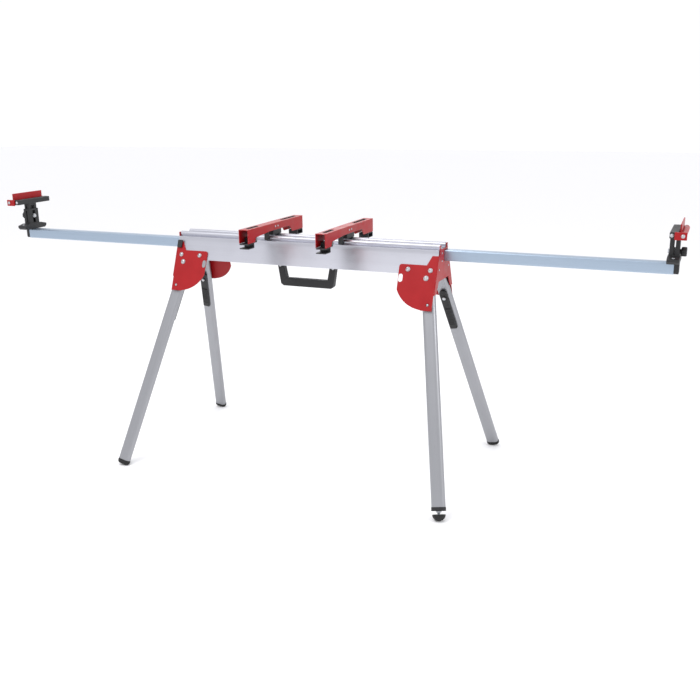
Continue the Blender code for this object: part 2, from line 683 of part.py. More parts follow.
def build_support_column(side):
    """A base across the rail with a hollow column on it, slotted on all four sides."""
    x = SIDES[side] * SUPPORT_CENTRE
    y = SIDES[side] * RAIL_LANE
    half = BASE_LENGTH / 2
    right = [(half - BASE_EDGE, BASE_BOTTOM), (half, BASE_BOTTOM + BASE_EDGE)]
    right += [(half, BASE_BOTTOM + 2 * BASE_EDGE), (BASE_STEP, COLUMN_BOTTOM)]
    outline = [(y + across, z) for across, z in right]
    outline += [(y - across, z) for across, z in reversed(right)]
    base = extruded("support_base", [outline], BASE_WIDTH, at(x, 0, 0) @ SECTION_YZ)
    column = add_object(f"support_column_{side}", base, black_plastic)
    sleeve_low = (x - COLUMN_WIDTH / 2, y - COLUMN_DEPTH / 2, BASE_BOTTOM + BASE_EDGE)
    sleeve_high = (x + COLUMN_WIDTH / 2, y + COLUMN_DEPTH / 2, COLUMN_TOP)
    sleeve = box("support_sleeve", sleeve_low, sleeve_high)
    boolean(column, add_cutter(f"support_sleeve_{side}", sleeve), "UNION")
    bore_low = (sleeve_low[0] + COLUMN_WALL, sleeve_low[1] + COLUMN_WALL, COLUMN_BOTTOM)
    bore_high = (sleeve_high[0] - COLUMN_WALL, sleeve_high[1] - COLUMN_WALL, COLUMN_TOP + CUT)
    boolean(column, add_cutter(f"support_bore_{side}", box("bore", bore_low, bore_high)), "DIFFERENCE")
    bottom = COLUMN_BOTTOM + SLOT_START
    top = COLUMN_TOP - SLOT_WIDTH / 2
    slot_low = (x - COLUMN_WIDTH, y - SLOT_WIDTH / 2, bottom)
    slot_high = (x + COLUMN_WIDTH, y + SLOT_WIDTH / 2, top)
    boolean(column, add_cutter(f"support_slot_{side}", box("slot", slot_low, slot_high)), "DIFFERENCE")
    slot_low = (x - SIDE_SLOT_WIDTH / 2, y - COLUMN_DEPTH, bottom)
    slot_high = (x + SIDE_SLOT_WIDTH / 2, y + COLUMN_DEPTH, top)
    side_slot = add_cutter(f"support_side_slot_{side}", box("side_slot", slot_low, slot_high))
    boolean(column, side_slot, "DIFFERENCE")


def sorted_box(name, first, second, bevel=0.0):
    """A box between any two opposite corners."""
    low = [min(a, b) for a, b in zip(first, second)]
    high = [max(a, b) for a, b in zip(first, second)]
    return box(name, low, high, bevel)


def build_support_head(side):
    """A cross bar on a post that slides in the column; the post's windows show through the slots."""
    way = SIDES[side]
    x = way * SUPPORT_CENTRE
    y = way * RAIL_LANE
    bottom = HEAD_BOTTOM[side]
    middle = y + HEAD_SHIFT
    inner_corner = (x - way * HEAD_INNER, middle - HEAD_LENGTH / 2, bottom)
    outer_corner = (x + way * HEAD_OUTER, middle + HEAD_LENGTH / 2, bottom + HEAD_TALL)
    bar = sorted_box("support_bar", inner_corner, outer_corner, 2 * EASE)
    head = add_object(f"support_head_{side}", bar, black_plastic)
    clearance = COLUMN_WALL + 2 * GAP
    post_x = COLUMN_WIDTH / 2 - clearance
    post_y = COLUMN_DEPTH / 2 - clearance
    post_low = (x - post_x, y - post_y, bottom - POST_LENGTH)
    post = box("post", post_low, (x + min(post_x, HEAD_OUTER), y + post_y, bottom + HEAD_TALL / 2))
    boolean(head, add_cutter(f"support_post_{side}", post), "UNION")
    high = bottom - SLOT_WIDTH / 2
    low = bottom - HEIGHT_BOLT_DROP + 2 * HEIGHT_BOLT + HEIGHT_BOLT / 2
    half = SLOT_WIDTH / 2 + COLUMN_WALL
    window = box("window", (x - COLUMN_WIDTH, y - half, low), (x + COLUMN_WIDTH, y + half, high))
    boolean(head, add_cutter(f"support_window_{side}", window), "DIFFERENCE")
    half = SIDE_SLOT_WIDTH / 2
    window = box("side_window", (x - half, y - COLUMN_DEPTH, low), (x + half, y + COLUMN_DEPTH, high))
    boolean(head, add_cutter(f"support_side_window_{side}", window), "DIFFERENCE")
    bolt_z = bottom - HEIGHT_BOLT_DROP
    ends = ((x - COLUMN_WIDTH, y, bolt_z), (x + COLUMN_WIDTH, y, bolt_z))
    hole = rod("height_bolt_hole", HEIGHT_BOLT + GAP, *ends, "X", 16)
    boolean(head, add_cutter(f"height_bolt_hole_{side}", hole), "DIFFERENCE")


def build_height_knob(side):
    """A knob with its clamp bolt, turned about X, outboard of the column."""
    way = SIDES[side]
    place = (way * SUPPORT_CENTRE, way * RAIL_LANE, HEAD_BOTTOM[side] - HEIGHT_BOLT_DROP)
    flange = COLUMN_WIDTH / 2 + 2 * GAP
    face = BASE_WIDTH / 2 + 2 * GAP
    outer = face + KNOB_THICK
    profile = [
        (KNOB_RADIUS - KNOB_EASE, outer),
        (KNOB_RADIUS, outer - KNOB_EASE),
        (KNOB_RADIUS, face + EASE),
        (KNOB_RADIUS - EASE, face),
        (2 * HEIGHT_BOLT, face),
        (2 * HEIGHT_BOLT, flange),
        (HEIGHT_BOLT - GAP, flange),
        (HEIGHT_BOLT - GAP, -COLUMN_WIDTH / 2 - BOLT_HEAD_TALL),
    ]
    name = f"height_knob_{side}"
    knob = turned(name, black_plastic, profile, None, place, steps=20, axis="X")
    if way < 0:
        knob.rotation_euler.z = pi


def build_flip_stop(side):
    """A red stop along the head's outer edge: a barrel on the hinge line, a fin and an end block."""
    way = SIDES[side]
    hinge_z = HEAD_BOTTOM[side] + HEAD_TALL / 2
    hinge = (way * (SUPPORT_CENTRE + STOP_AXIS_OUT), way * RAIL_LANE + HEAD_SHIFT, hinge_z)
    half = HEAD_LENGTH / 2
    name = f"flip_stop_{side}"
    barrel = rod(name, STOP_BARREL, (0.0, -half, 0.0), (0.0, half, 0.0), "Y", 20)
    stop = add_object(name, barrel, red_paint, location=hinge)
    inner = -way * STOP_BARREL
    fin_low = (inner, -half + STOP_FIN_END, 0.0)
    fin_high = (inner + way * STOP_THICK, half - 2 * STOP_FIN_END, HEAD_TALL / 2 + STOP_FIN)
    fin = add_cutter(f"stop_fin_{side}", sorted_box("fin", fin_low, fin_high, EASE), location=hinge)
    boolean(stop, fin, "UNION")
    tall = HEAD_TALL / 2 + STOP_BLOCK_LIP
    outer = STOP_BARREL + STOP_BLOCK_LIP
    block_low = (way * outer, -half - STOP_BLOCK_THICK, -tall - EASE)
    block_high = (way * (outer - STOP_BLOCK_WIDTH), -half - 2 * GAP, tall)
    block_mesh = sorted_box("stop_block", block_low, block_high, EASE)
    boolean(stop, add_cutter(f"stop_block_{side}", block_mesh, location=hinge), "UNION")
    neck_low = (-STOP_BARREL / 2, -half - STOP_BLOCK_THICK / 2, -STOP_BARREL / 2)
    neck_high = (STOP_BARREL / 2, -half + STOP_FIN_END, STOP_BARREL / 2)
    neck = add_cutter(f"stop_neck_{side}", box("stop_neck", neck_low, neck_high), location=hinge)
    boolean(stop, neck, "UNION")


# ---- Saw brackets -----------------------------------------------------------------------------------
def bracket_outline():
    """The side of the bracket's channel, across the beam: shallow over the beam, deep at its ends."""
    half = BRACKET_LENGTH / 2
    front_step = -half + BRACKET_FRONT_DEEP
    rear_step = half - BRACKET_REAR_DEEP
    return [
        (-half, BRACKET_TOP),
        (-half, BRACKET_END),
        (front_step, BRACKET_END),
        (front_step + FRONT_RAMP[0], BRACKET_END + FRONT_RAMP[1]),
        (BRACKET_RAMP_START, BRACKET_MIDDLE),
        (rear_step - REAR_RAMP, BRACKET_MIDDLE),
        (rear_step, BRACKET_END),
        (half, BRACKET_END),
        (half, BRACKET_TOP),
    ]


def build_saw_bracket(side):
    x = BRACKET_PLACES[side]
    name = f"saw_bracket_{side}"
    mesh = extruded(name, [bracket_outline()], BRACKET_WIDTH, at(x, 0, 0) @ SECTION_YZ)
    bracket = add_object(name, mesh, red_paint)
    inner = BRACKET_WIDTH / 2 - BRACKET_SHEET
    channel = box(
        "channel",
        (x - inner, -BRACKET_LENGTH, BRACKET_END - CUT),
        (x + inner, BRACKET_LENGTH, BRACKET_TOP - BRACKET_SHEET),
    )
    boolean(bracket, add_cutter(f"{name}_channel", channel), "DIFFERENCE")
    for label, (middle, length) in SLOT_PLACES.items():
        loop = round_rectangle(SLOT_ACROSS, length, SLOT_ACROSS / 2 - GAP, (x, middle))
        cutter = extruded(f"slot_{label}", [loop], 2 * CUT, at(0, 0, BRACKET_TOP))
        boolean(bracket, add_cutter(f"{name}_slot_{label}", cutter), "DIFFERENCE")


def build_bracket_saddle(side):
    """The plastic slide under the bracket, which rests on the beam's two top rails."""
    x = BRACKET_PLACES[side]
    inner = BRACKET_WIDTH / 2 - BRACKET_SHEET - GAP
    low = (x - inner, -SADDLE_FRONT, BEAM_TOP + GAP)
    high = (x + inner, SADDLE_REAR, BRACKET_TOP - BRACKET_SHEET - GAP)
    add_object(f"bracket_saddle_{side}", box("saddle", low, high, EASE), black_plastic)


def build_rear_grip(side):
    """A plastic frame that closes the channel's rear end, with a finger gap under the steel."""
    x = BRACKET_PLACES[side]
    name = f"bracket_pad_{side}"
    low_z = BRACKET_END - BRACKET_GRIP
    half = BRACKET_WIDTH / 2
    rear = BRACKET_LENGTH / 2
    front = rear - PAD_LENGTH
    frame = box("pad", (x - half, front, low_z), (x + half, rear, BRACKET_END - GAP), 2 * EASE)
    pad = add_object(name, frame, black_plastic)
    gap_low = (x - half - CUT, front + PAD_WALL, low_z + GRIP_WALL)
    gap = box("pad_gap", gap_low, (x + half + CUT, rear - PAD_WALL, BRACKET_END - GRIP_WALL))
    boolean(pad, add_cutter(f"{name}_gap", gap), "DIFFERENCE")


def build_clamp_lever(side):
    """The clamp's grip at the channel's front end, hinged on a pin across the side plates."""
    x = BRACKET_PLACES[side]
    name = f"clamp_lever_{side}"
    pin_y = -BRACKET_LENGTH / 2 + BRACKET_FRONT_DEEP + CLAMP_PIN_RUN
    pin_z = BRACKET_END + CLAMP_PIN_RISE
    pin = (x, pin_y, pin_z)
    inner = BRACKET_WIDTH / 2 - BRACKET_SHEET - LEVER_SIDE_FIT
    half = BRACKET_WIDTH / 2
    low_z = BRACKET_END - BRACKET_GRIP - pin_z
    high_z = BRACKET_END - 2 * GAP - pin_z
    front = -BRACKET_LENGTH / 2 - pin_y
    grip = box("grip", (-half, front, low_z), (half, GRIP_TAIL, high_z), 2 * EASE)
    lever = add_object(name, grip, black_plastic, location=pin)
    arm_low = (-inner, LEVER_ARM_TAIL, high_z - GRIP_WALL / 2)
    arm = box("lever_arm", arm_low, (inner, LEVER_ARM_NOSE, LEVER_ARM_TOP))
    boolean(lever, add_cutter(f"{name}_arm", arm, location=pin), "UNION")
    gap_low = (-half - CUT, front - CUT, low_z + GRIP_WALL)
    gap_high = (half + CUT, GRIP_TAIL - PAD_WALL, high_z - GRIP_WALL)
    gap = add_cutter(f"{name}_gap", box("grip_gap", gap_low, gap_high), location=pin)
    boolean(lever, gap, "DIFFERENCE")
    hole_ends = ((-half - CUT, 0, 0), (half + CUT, 0, 0))
    hole = rod("lever_hole", CLAMP_PIN + CLAMP_PIN_FIT, *hole_ends, "X", 16)
    boolean(lever, add_cutter(f"{name}_hole", hole, location=pin), "DIFFERENCE")
    bracket = bpy.data.objects[f"saw_bracket_{side}"]
    hole = rod("bracket_hole", CLAMP_PIN + CLAMP_PIN_FIT, *hole_ends, "X", 16)
    boolean(bracket, add_cutter(f"bracket_hole_{side}", hole, location=pin), "DIFFERENCE")
    profile = [
        (CLAMP_PIN_HEAD, half + CLAMP_PIN_HEAD_TALL),
        (CLAMP_PIN_HEAD, half + GAP),
        (CLAMP_PIN, half + GAP),
        (CLAMP_PIN, -half - GAP),
        (CLAMP_PIN_HEAD, -half - GAP),
        (CLAMP_PIN_HEAD, -half - CLAMP_PIN_HEAD_TALL),
    ]
    turned(f"clamp_pin_{side}", steel, profile, None, pin, steps=16, axis="X")


def build_clamp_jaw(side):
    """The moulded jaw that the lever draws against the outer side of the front top rail."""
    x = BRACKET_PLACES[side]
    rail = TOP_RAIL_CENTRE + TOP_RAIL_RADIUS
    low = (x - JAW_WIDTH / 2, -rail - JAW_FIT - JAW_THICK, DECK_TOP + JAW_FIT)
    high = (x + JAW_WIDTH / 2, -rail - JAW_FIT, BRACKET_TOP - JAW_TOP_DROP)
    add_object(f"clamp_jaw_{side}", box("jaw", low, high, EASE), black_plastic)


# ---- Carrying handle --------------------------------------------------------------------------------
def build_handle():
    """A moulded U under the beam; a tongue on each arm runs up between the rails to the deck."""
    top = RAIL_BOTTOM - GUIDE_FLOOR
    wide = HANDLE_TOP_WIDTH / 2
    narrow = HANDLE_BOTTOM_WIDTH / 2
    bar_top = HANDLE_BOTTOM + HANDLE_BAR
    run, rise = HANDLE_CORNER
    right = [(wide, top), (wide, BEAM_BOTTOM), (narrow, HANDLE_BOTTOM + rise)]
    right += [(narrow - run, HANDLE_BOTTOM)]
    inner_right = [(narrow - HANDLE_ARM, bar_top), (wide - HANDLE_ARM, BEAM_BOTTOM)]
    inner_right += [(wide - HANDLE_ARM, top)]
    left = [(-x, z) for x, z in reversed(right)]
    inner_left = [(-x, z) for x, z in reversed(inner_right)]
    outline = right + left + inner_left + inner_right
    mesh = extruded("handle", [outline], HANDLE_THICK, FACE_XZ)
    handle = add_object("handle", mesh, black_plastic)
    for way in (-1, 1):
        ends = sorted((way * wide, way * (wide - HANDLE_ARM)))
        tongue_low = (ends[0] + TONGUE_INSET, -TONGUE_THICK / 2, top - TONGUE_LAP)
        tongue_high = (ends[1] - TONGUE_INSET, TONGUE_THICK / 2, DECK_TOP - BEAM_WALL - GAP)
        tongue = box("tongue", tongue_low, tongue_high)
        boolean(handle, add_cutter(f"handle_tongue_{way + 1}", tongue), "UNION")


# ---- The model ----------------------------------------------------------------------------------------
clear_scene()
parts = make_collection("mitre_saw_stand")
cutters = make_collection("cutters")
cutters.hide_render = True
corner_frames = {}

aluminium = make_material("extruded_aluminium", (0.72, 0.73, 0.76), 0.35, 0.9)
red_paint = make_material("red_powder_coat", (0.60, 0.018, 0.022), 0.40, 0.0)
black_plastic = make_material("black_plastic", (0.030, 0.030, 0.032), 0.50, 0.0)
rubber = make_material("black_rubber", (0.022, 0.022, 0.022), 0.80, 0.0)
steel = make_material("bright_steel", (0.62, 0.62, 0.63), 0.30, 1.0)
zinc_steel = make_material("zinc_plated_steel", (0.55, 0.62, 0.70), 0.30, 0.9)

build_beam()
build_handle()
for side_name in SIDES:
    build_end_plate(side_name)
    build_rail_guide(side_name)
    for face_name in FACES:
        build_corner(side_name, face_name)
    build_rail_lock(side_name)
    build_rail(side_name)
    build_support_column(side_name)
    build_support_head(side_name)
    build_height_knob(side_name)
    build_flip_stop(side_name)
    build_saw_bracket(side_name)
    build_bracket_saddle(side_name)
    build_rear_grip(side_name)
    build_clamp_lever(side_name)
    build_clamp_jaw(side_name)
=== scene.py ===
"""The looks of a folding mitre saw stand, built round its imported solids."""

import json
from math import cos, pi, radians, sin

import bmesh
import bpy
from mathutils import Matrix, Vector


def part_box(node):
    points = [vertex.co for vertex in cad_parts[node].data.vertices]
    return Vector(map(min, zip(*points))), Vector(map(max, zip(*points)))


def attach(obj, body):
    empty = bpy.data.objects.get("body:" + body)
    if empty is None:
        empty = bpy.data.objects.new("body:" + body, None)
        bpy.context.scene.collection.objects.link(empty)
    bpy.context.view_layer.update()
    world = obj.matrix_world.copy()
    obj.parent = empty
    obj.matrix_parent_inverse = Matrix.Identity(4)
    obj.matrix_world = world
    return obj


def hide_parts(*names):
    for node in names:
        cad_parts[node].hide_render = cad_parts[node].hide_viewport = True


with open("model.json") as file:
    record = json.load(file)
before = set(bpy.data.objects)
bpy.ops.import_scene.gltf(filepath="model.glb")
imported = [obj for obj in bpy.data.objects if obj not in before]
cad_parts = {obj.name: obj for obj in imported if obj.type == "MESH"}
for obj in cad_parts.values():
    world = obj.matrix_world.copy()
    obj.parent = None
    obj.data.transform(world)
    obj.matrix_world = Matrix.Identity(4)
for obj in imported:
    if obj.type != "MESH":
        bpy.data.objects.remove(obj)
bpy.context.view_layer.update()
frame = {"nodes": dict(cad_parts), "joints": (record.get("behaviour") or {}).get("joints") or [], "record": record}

# ---- The view, the light and the floor ---------------------------------------------------------
# A view from the front right, a little above the stand, in a plain white studio: large soft
# lights from above and a pale floor.
VIEW_PLACE = (1.4111, -2.8723, 1.3403)
VIEW_YAW = radians(23.43)
VIEW_PITCH = radians(16.0)
VIEW_ROLL = radians(-0.766)
VIEW_LENS = 45.04
SENSOR = 36.0

camera_data = bpy.data.cameras.new("view")
camera_data.lens = VIEW_LENS
camera_data.sensor_width = SENSOR
camera = bpy.data.objects.new("view", camera_data)
bpy.context.scene.collection.objects.link(camera)
camera.matrix_world = (
    Matrix.Translation(VIEW_PLACE)
    @ Matrix.Rotation(VIEW_YAW, 4, "Z")
    @ Matrix.Rotation(radians(90.0) - VIEW_PITCH, 4, "X")
    @ Matrix.Rotation(VIEW_ROLL, 4, "Z")
)
bpy.context.scene.camera = camera
bpy.context.scene.view_settings.view_transform = "Standard"


def srgb(code):
    """A colour written as sRGB hex, as linear red, green, blue and alpha."""
    parts = [int(code[index:index + 2], 16) / 255 for index in (0, 2, 4)]
    return [p / 12.92 if p <= 0.04045 else ((p + 0.055) / 1.055) ** 2.4 for p in parts] + [1.0]


def add_light(name, place, target, size, power):
    data = bpy.data.lights.new(name, "AREA")
    data.shape = "DISK"
    data.size = size
    data.energy = power
    light = bpy.data.objects.new(name, data)
    bpy.context.scene.collection.objects.link(light)
    light.location = place
    light.rotation_euler = (Vector(target) - Vector(place)).to_track_quat("-Z", "Y").to_euler()


add_light("overhead_softbox", (-0.8, -1.6, 3.6), (0.0, 0.0, 0.5), size=2.2, power=46.0)
add_light("side_softbox", (3.4, -0.6, 2.2), (0.3, 0.0, 0.7), size=1.6, power=22.0)
add_light("back_softbox", (-1.2, 3.0, 2.6), (0.0, 0.0, 0.7), size=1.8, power=16.0)

studio = bpy.data.worlds.new("studio")
bpy.context.scene.world = studio
studio.use_nodes = True
background = studio.node_tree.nodes["Background"]
background.inputs["Color"].default_value = srgb("FCFCFF")
background.inputs["Strength"].default_value = 1.04


def add_node(material, kind, links=None, **settings):
    """Adds a node to a material: settings are its properties or inputs, links its joined inputs."""
    node = material.node_tree.nodes.new("ShaderNode" + kind)
    for name, value in settings.items():
        if hasattr(node, name):
            setattr(node, name, value)
        else:
            node.inputs[name.replace("_", " ")].default_value = value
    for name, source in (links or {}).items():
        material.node_tree.links.new(source, node.inputs[name])
    return node


def new_material(name, colour, roughness, metallic=0.0):
    """A material with a Principled shader, and that shader."""
    material = bpy.data.materials.new(name)
    material.use_nodes = True
    shader = material.node_tree.nodes["Principled BSDF"]
    shader.inputs["Base Color"].default_value = srgb(colour)
    shader.inputs["Roughness"].default_value = roughness
    shader.inputs["Metallic"].default_value = metallic
    return material, shader


def join(material, source, shader, name):
    material.node_tree.links.new(source, shader.inputs[name])


floor_bm = bmesh.new()
bmesh.ops.create_grid(floor_bm, x_segments=1, y_segments=1, size=20.0)
floor_mesh = bpy.data.meshes.new("studio_floor")
floor_bm.to_mesh(floor_mesh)
floor_bm.free()
floor = bpy.data.objects.new("studio_floor", floor_mesh)
bpy.context.scene.collection.objects.link(floor)
floor_paint = new_material("matt_white_floor", "FBFBFB", 0.9)[0]
floor_mesh.materials.append(floor_paint)

body_of_node = {
    node: body for body, nodes in frame["record"]["behaviour"]["bodies"].items() for node in nodes
}
joints = {joint["name"]: joint for joint in frame["joints"]}
SIDES = {"left": -1, "right": 1}
FACES = {"front": -1, "rear": 1}


def add_piece(bm, name, body, material, smooth_below=35.0):
    """Makes a finished piece of a bmesh that rides on a body."""
    mesh = bpy.data.meshes.new(name)
    bm.to_mesh(mesh)
    bm.free()
    mesh.shade_smooth()
    mesh.set_sharp_from_angle(angle=radians(smooth_below))
    piece = bpy.data.objects.new(name, mesh)
    bpy.context.scene.collection.objects.link(piece)
    mesh.materials.append(material)
    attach(piece, body)
    return piece


def round_edges(bm, edges, radius, segments, clamp=False):
    """Rounds edges off and returns the faces of the rounded strips."""
    made = bmesh.ops.bevel(
        bm, geom=edges, offset=radius, segments=segments, affect="EDGES", profile=0.5, material=-1,
        clamp_overlap=clamp,
    )
    return made["faces"]


def rounded_copy(node, radius, material, segments=2, sharp_from=30.0):
    """Replaces a solid with a fine copy: its triangles merged to flat faces, its edges rounded.

    The rounded strips carry an attribute, edge, that the materials wear.
    """
    bm = bmesh.new()
    bm.from_mesh(frame["nodes"][node].data)
    bmesh.ops.remove_doubles(bm, verts=bm.verts, dist=0.00001)
    bmesh.ops.dissolve_limit(bm, angle_limit=radians(0.6), verts=bm.verts, edges=bm.edges)
    edge = bm.faces.layers.float.new("edge")
    limit = radians(sharp_from)
    sharp = [e for e in bm.edges if len(e.link_faces) == 2 and e.calc_face_angle() > limit]
    for face in round_edges(bm, sharp, radius, segments, clamp=True):
        face[edge] = 1.0
    piece = add_piece(bm, f"{node}_finished", body_of_node[node], material, 40.0)
    weighted = piece.modifiers.new("flat_faces", "WEIGHTED_NORMAL")
    weighted.keep_sharp = True
    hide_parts(node)
    return piece


def noise(material, where, scale, detail, **settings):
    """A noise pattern with about as many bumps in a metre as its scale."""
    pattern = add_node(
        material, "TexNoise", {"Vector": where}, Scale=scale, Detail=detail, **settings
    )
    return pattern.outputs["Fac"]


def worn_edge(material, where, grit, amount):
    """How far an edge is worn through, in patches a few millimetres long: 0 on every flat."""
    edge = add_node(material, "Attribute", attribute_name="edge").outputs["Fac"]
    patch = noise(material, where, grit, 4.0)
    bare = add_node(material, "MapRange", {"Value": patch}, From_Min=0.62 - amount, From_Max=0.66)
    both = add_node(material, "Math", {0: edge, 1: bare.outputs["Result"]}, operation="MULTIPLY")
    return both.outputs["Value"]


# A Mix node's colour sockets, which have no names of their own.
MIX_FROM = 6
MIX_TO = 7
MIX_RESULT = 2


def tones(material, factor, dark, light):
    """A colour that runs between two with a pattern."""
    mix = add_node(material, "Mix", {"Factor": factor}, data_type="RGBA")
    mix.inputs[MIX_FROM].default_value = dark
    mix.inputs[MIX_TO].default_value = light
    return mix.outputs[MIX_RESULT]


def showing(material, factor, under, colour):
    """One colour showing over what lies under it, where a pattern says so."""
    mix = add_node(material, "Mix", {"Factor": factor}, data_type="RGBA")
    material.node_tree.links.new(under, mix.inputs[MIX_FROM])
    mix.inputs[MIX_TO].default_value = colour
    return mix.outputs[MIX_RESULT]


def scaled(colour, by):
    """A colour made darker or lighter, held at white."""
    return [min(1.0, by * value) for value in colour[:3]] + [1.0]


def levels(material, value, low, high, to_low, to_high):
    """A value's range from low to high, spread over another."""
    spread = add_node(material, "MapRange", {"Value": value}, From_Min=low, From_Max=high)
    spread.inputs["To Min"].default_value = to_low
    spread.inputs["To Max"].default_value = to_high
    return spread.outputs["Result"]


# ---- The beam ----------------------------------------------------------------------------------
# One aluminium extrusion, open underneath, with tilted side walls and two round-topped rails on
# its deck. Clear anodised: pale, slightly satin, with the die's fine lines running lengthwise.
def lined_metal(name, colour, roughness, turn=None):
    """Satin metal whose die or rolling lines run along X after the turn."""
    material, shader = new_material(name, colour, roughness, 1.0)
    where = add_node(material, "TexCoord").outputs["Object"]
    if turn is not None:
        turned_place = add_node(material, "Mapping", {"Vector": where}, Rotation=turn.to_euler())
        where = turned_place.outputs["Vector"]
    # Die lines about 1.5 mm apart across the profile, unbroken for hundreds of millimetres.
    lines = add_node(material, "Mapping", {"Vector": where}, Scale=(1.5, 650.0, 650.0))
    streaks = noise(material, lines.outputs["Vector"], 1.0, 3.0, Roughness=0.6)
    # Broad handling marks, tens of millimetres wide, that dull the shine a little.
    marks = noise(material, where, 14.0, 4.0)
    both = add_node(material, "Math", {0: streaks, 1: marks}, operation="MULTIPLY").outputs["Value"]
    # Short scuffs from tools and timber, about 25 mm long and up to a millimetre wide.
    across = add_node(material, "Mapping", {"Vector": where}, Scale=(40.0, 900.0, 900.0))
    across.inputs["Rotation"].default_value = (0.3, 0.2, 0.15)
    scuff = noise(material, across.outputs["Vector"], 1.0, 1.0)
    scuffed = levels(material, scuff, 0.70, 0.76, 0.0, 0.55)
    base = srgb(colour)
    tone = tones(material, streaks, scaled(base, 0.90), scaled(base, 1.04))
    marked = showing(material, scuffed, tone, scaled(base, 0.72))
    # Cut ends and corners are rubbed bright in patches.
    worn = worn_edge(material, where, 90.0, 0.16)
    bright = showing(material, worn, marked, scaled(base, 1.25))
    join(material, bright, shader, "Base Color")
    dulled = levels(material, both, 0.1, 0.45, roughness - 0.08, roughness + 0.12)
    join(material, dulled, shader, "Roughness")
    relief = add_node(material, "Bump", {"Height": streaks}, Strength=0.16, Distance=0.0002)
    join(material, relief.outputs["Normal"], shader, "Normal")
    return material


beam_aluminium = lined_metal("anodised_aluminium_beam", "BFC0C8", 0.40)
rounded_copy("beam", 0.0006, beam_aluminium)


# ---- The end plates and leg plates -------------------------------------------------------------
# Laser-cut 3 mm steel, folded and powder coated red: an even semi-gloss film with a faint
# orange-peel surface that thins over the cut edges.
def powder_coat(name, colour):
    """Semi-gloss powder coat with orange peel and chipped edges."""
    material, shader = new_material(name, colour, 0.38)
    shader.inputs["Specular IOR Level"].default_value = 0.32
    where = add_node(material, "TexCoord").outputs["Object"]
    # Orange peel has bumps 1 to 2 mm across; drawn at 2.5 mm so that it shows.
    peel = noise(material, where, 400.0, 2.0)
    relief = add_node(material, "Bump", {"Height": peel}, Strength=0.14, Distance=0.0003)
    join(material, relief.outputs["Normal"], shader, "Normal")
    # The film is a little thicker and darker in broad patches a few centimetres wide.
    patches = noise(material, where, 22.0, 3.0)
    base = srgb(colour)
    tone = tones(material, patches, scaled(base, 0.84), scaled(base, 1.12))
    # Knocks of 3 to 8 mm on the edges show grey primer and a little bare steel.
    worn = worn_edge(material, where, 120.0, 0.06)
    chipped = showing(material, worn, tone, srgb("9A8F8C"))
    join(material, chipped, shader, "Base Color")
    join(material, levels(material, patches, 0.3, 0.7, 0.30, 0.46), shader, "Roughness")
    return material


red_coat = powder_coat("red_powder_coat", "9E0A12")
for side in SIDES:
    rounded_copy(f"end_plate_{side}", 0.0006, red_coat)
    for face in FACES:
        rounded_copy(f"{face}_plate_{side}", 0.0006, red_coat)


# ---- Bolts, washers and rivets -----------------------------------------------------------------
# Cold-headed steel, bright zinc plated: cool silver with fine scratches, and a hexagon socket in
# each button head. They hold the plates to the beam, and each leg to its plate.
def zinc_plated(name, colour, roughness):
    """Bright zinc plate, clouded and finely scratched."""
    material, shader = new_material(name, colour, roughness, 1.0)
    where = add_node(material, "TexCoord").outputs["Object"]
    # Plating clouds 5 to 10 mm across, slightly blue and yellow by turns.
    cloud = noise(material, where, 130.0, 3.0)
    base = srgb(colour)
    blue = [base[0] * 0.88, base[1] * 0.94, min(1.0, base[2] * 1.04), 1.0]
    warm = [min(1.0, base[0] * 1.04), base[1], base[2] * 0.90, 1.0]
    tone = tones(material, cloud, blue, warm)
    # Fine handling scratches, about 0.4 mm apart.
    lines = add_node(material, "Mapping", {"Vector": where}, Scale=(300.0, 2500.0, 300.0))
    scratch = noise(material, lines.outputs["Vector"], 1.0, 2.0)
    join(material, tone, shader, "Base Color")
    dulled = levels(material, scratch, 0.3, 0.7, roughness - 0.08, roughness + 0.12)
    join(material, dulled, shader, "Roughness")
    relief = add_node(material, "Bump", {"Height": scratch}, Strength=0.10, Distance=0.0001)
    join(material, relief.outputs["Normal"], shader, "Normal")
    return material


def hexagon(turn, height):
    """How far a hexagon reaches at a turn, beside the circle through its corners."""
    return cos(pi / 6) / cos(turn % (pi / 3) - pi / 6)


def add_turned(bm, place, profile, count=30):
    """Turns a profile of (radius, height, shape) about the place's Z axis, ends closed.

    A ring's shape, if it has one, says how its radius changes round the turn.
    """
    rings = []
    for radius, height, *shapes in profile:
        ring = []
        for step in range(count if radius else 1):
            turn = 2 * pi * step / count
            reach = radius * (shapes[0](turn, height) if shapes else 1.0)
            ring.append(bm.verts.new(place @ Vector((reach * cos(turn), reach * sin(turn), height))))
        rings.append(ring)
    made = []
    for low, high in zip(rings, rings[1:]):
        for step in range(count):
            after = step + 1
            corners = [low[step % len(low)], low[after % len(low)]]
            corners += [high[after % len(high)], high[step % len(high)]]
            made.append(bm.faces.new(list(dict.fromkeys(corners))))
    bmesh.ops.recalc_face_normals(bm, faces=made)


def add_button_head(bm, place, radius, tall):
    """A button head that stands up the place's Z axis on a thin washer, with a hexagon socket."""
    washer = 0.0012
    neck = washer + 0.0006
    socket = 0.46 * radius
    profile = [(0.0, 0.0), (1.16 * radius, 0.0), (1.18 * radius, 0.0004), (1.14 * radius, washer)]
    profile += [(radius, washer), (radius, neck)]
    for step in range(1, 6):
        turn = radians(13.0 * step)
        profile.append((radius * cos(turn), neck + tall * sin(turn)))
    rim = profile[-1][1]
    profile = [point for point in profile if point[0] > socket or point[1] < washer]
    profile += [(socket, rim, hexagon), (0.92 * socket, rim - 0.0004, hexagon)]
    profile += [(0.92 * socket, rim - 0.6 * tall, hexagon), (0.0, rim - 0.7 * tall)]
    add_turned(bm, place, profile)


